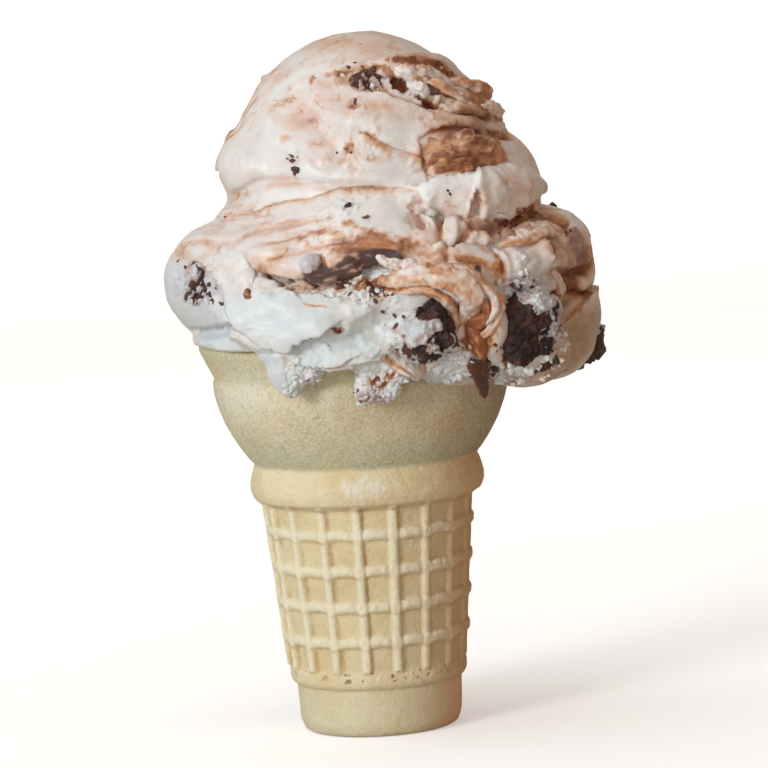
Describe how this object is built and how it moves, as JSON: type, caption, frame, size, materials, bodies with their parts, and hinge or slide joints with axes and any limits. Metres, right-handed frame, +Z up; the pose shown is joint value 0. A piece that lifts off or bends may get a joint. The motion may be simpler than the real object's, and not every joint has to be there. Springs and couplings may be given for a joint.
{
  "type": "ice cream cone",
  "caption": "Flat-bottomed wafer cup with a ribbed stem, filled and topped with soft marbled scoops of ice cream that hold brownie chunks and a caramel ripple.",
  "frame": {"origin": "centre of the wafer cup's flat base", "axes": "+Z up along the cup's axis, -Y towards the viewer, +X to the viewer's right"},
  "size_m": [0.0874, 0.0847, 0.1391],
  "materials": {
    "wafer": "dry baked wafer, fine grain",
    "ice_cream": "soft wet cream with pink-brown swirls",
    "brownie": "dark moist crumb",
    "caramel": "glossy sauce"
  },
  "bodies": {
    "root": {"wafer_cup": "wafer", "scoop_lower": "ice_cream", "scoop_upper": "ice_cream", "brownie_front_right": "brownie", "brownie_front_middle": "brownie", "brownie_left": "brownie", "brownie_top": "brownie", "brownie_upper_right": "brownie", "brownie_rear_right": "brownie", "brownie_back": "brownie", "brownie_back_left": "brownie", "brownie_back_top": "brownie"}
  },
  "joints": []
}
